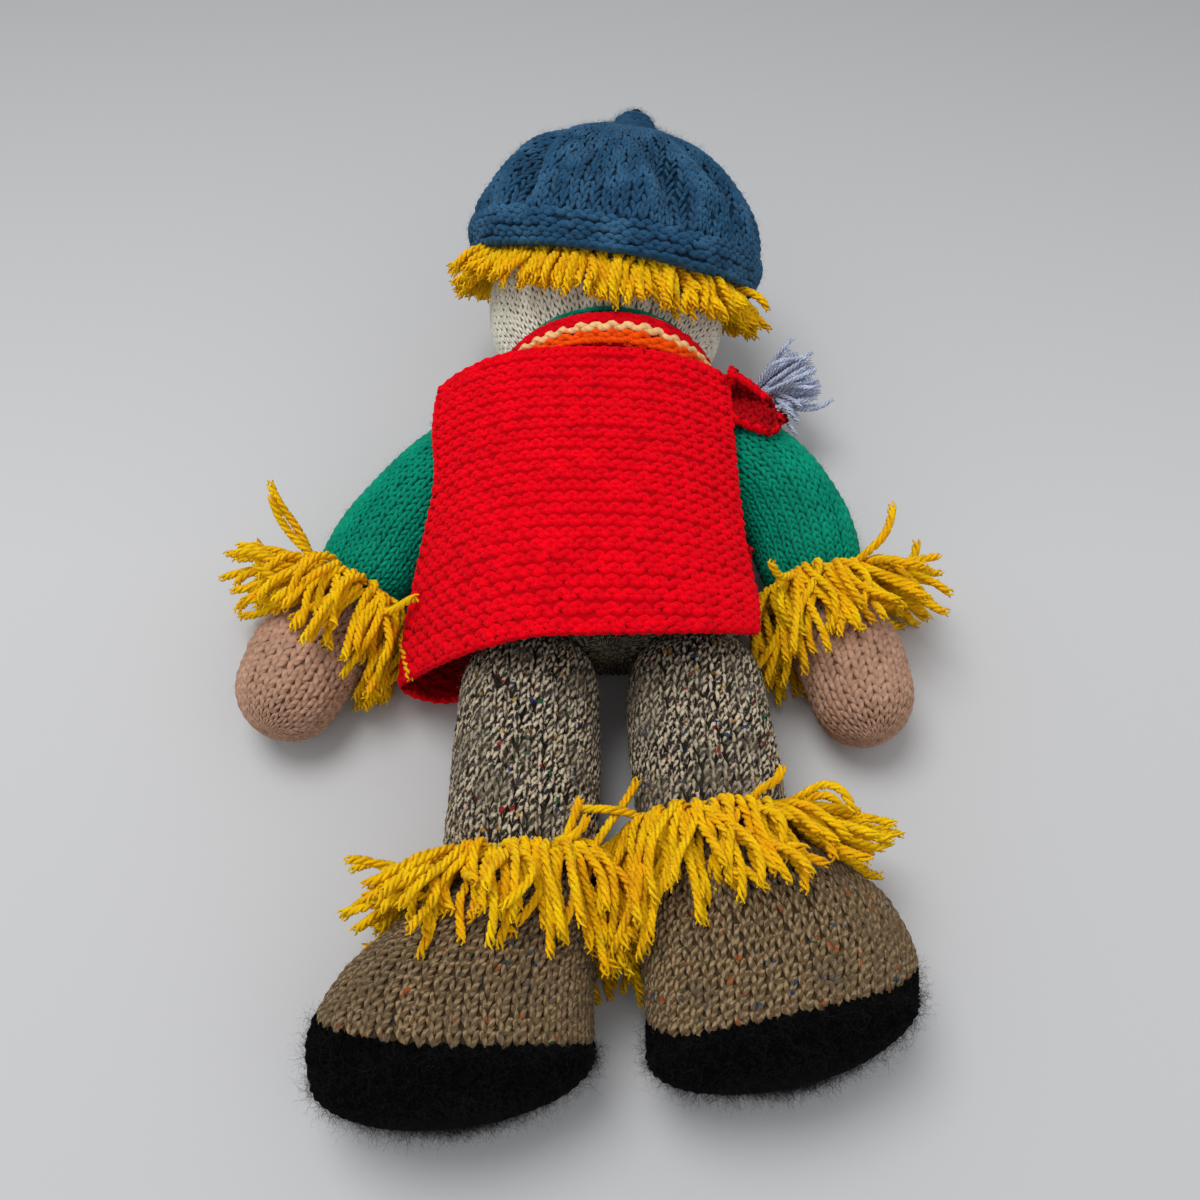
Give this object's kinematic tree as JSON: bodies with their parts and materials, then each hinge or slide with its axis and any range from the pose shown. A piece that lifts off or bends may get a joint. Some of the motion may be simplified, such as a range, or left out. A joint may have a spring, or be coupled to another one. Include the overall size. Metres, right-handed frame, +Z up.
{
  "type": "knitted scarecrow doll",
  "caption": "Soft knitted scarecrow doll lying on its front, with straw-like yarn fringes, waistcoat, scarf, boots and a lift-off hat; head, arms and legs move.",
  "frame": {"origin": "on the floor under the belly, in the middle of the doll's width, where its front rests", "axes": "+Z up, out of the doll's back; +Y from the feet to the head; -X the doll's own left side"},
  "size_m": [0.2918, 0.3998, 0.122],
  "materials": {
    "green_wool": "stockinette knit",
    "tweed_wool": "purl knit in flecked tweed yarn",
    "brown_wool": "stockinette knit in brown tweed yarn",
    "black_mohair": "fuzzy mohair knit",
    "cream_wool": "stockinette knit",
    "pink_wool": "stockinette knit",
    "yellow_yarn": "loose plied yarn strands",
    "blue_wool": "stockinette knit with a garter stitch edge",
    "red_wool": "garter stitch knit",
    "striped_wool": "garter stitch knit in red, peach and orange stripes",
    "pale_blue_yarn": "loose plied yarn strands",
    "stuffing": "polyester fibre filling",
    "face_thread": "embroidery thread",
    "mouth_thread": "embroidery thread"
  },
  "bodies": {
    "torso": {"sweater_body": "green_wool", "trouser_seat": "tweed_wool", "torso_stuffing": "stuffing", "sweater_neckband": "green_wool", "scarf_wrap": "striped_wool", "scarf_left_end": "striped_wool", "scarf_left_tassel": "pale_blue_yarn", "scarf_right_end": "striped_wool", "scarf_right_tassel": "pale_blue_yarn", "waistcoat_back": "red_wool", "waistcoat_left_front": "red_wool", "waistcoat_right_front": "red_wool"},
    "head_core": {"head_stuffing": "stuffing"},
    "head": {"head_cover": "cream_wool", "left_eye": "face_thread", "right_eye": "face_thread", "nose": "mouth_thread", "mouth": "mouth_thread", "hair_fringe": "yellow_yarn"},
    "hat": {"hat": "blue_wool"},
    "left_arm": {"left_sleeve": "green_wool", "left_hand": "pink_wool", "left_arm_stuffing": "stuffing", "left_wrist_straw": "yellow_yarn"},
    "right_arm": {"right_sleeve": "green_wool", "right_hand": "pink_wool", "right_arm_stuffing": "stuffing", "right_wrist_straw": "yellow_yarn"},
    "left_leg": {"left_trouser_leg": "tweed_wool", "left_boot_upper": "brown_wool", "left_boot_sole": "black_mohair", "left_leg_stuffing": "stuffing", "left_ankle_straw": "yellow_yarn"},
    "right_leg": {"right_trouser_leg": "tweed_wool", "right_boot_upper": "brown_wool", "right_boot_sole": "black_mohair", "right_leg_stuffing": "stuffing", "right_ankle_straw": "yellow_yarn"}
  },
  "joints": [
    {"name": "neck_nod", "type": "hinge", "parent": "torso", "child": "head_core", "pos_m": [0, 0.09695, 0.0505], "axis": [1, 0, 0], "range_deg": [-25, 3]},
    {"name": "neck_turn", "type": "hinge", "parent": "head_core", "child": "head", "pos_m": [0, 0.09695, 0.0505], "axis": [0, 1, 0], "range_deg": [-30, 30]},
    {"name": "hat_lift", "type": "slide", "parent": "head", "child": "hat", "axis": [0.1478, 0.7794, 0.6089], "range_m": [0, 0.06]},
    {"name": "left_shoulder", "type": "hinge", "parent": "torso", "child": "left_arm", "pos_m": [-0.058, 0.02, 0.038], "axis": [0, 0, -1], "range_deg": [0, 40]},
    {"name": "right_shoulder", "type": "hinge", "parent": "torso", "child": "right_arm", "pos_m": [0.057, 0.022, 0.038], "axis": [0, 0, 1], "range_deg": [0, 40]},
    {"name": "left_hip", "type": "hinge", "parent": "torso", "child": "left_leg", "pos_m": [-0.029, -0.08, 0.031], "axis": [1, 0, 0], "range_deg": [-20, 90]},
    {"name": "right_hip", "type": "hinge", "parent": "torso", "child": "right_leg", "pos_m": [0.0325, -0.08, 0.031], "axis": [1, 0, 0], "range_deg": [-20, 90]}
  ]
}
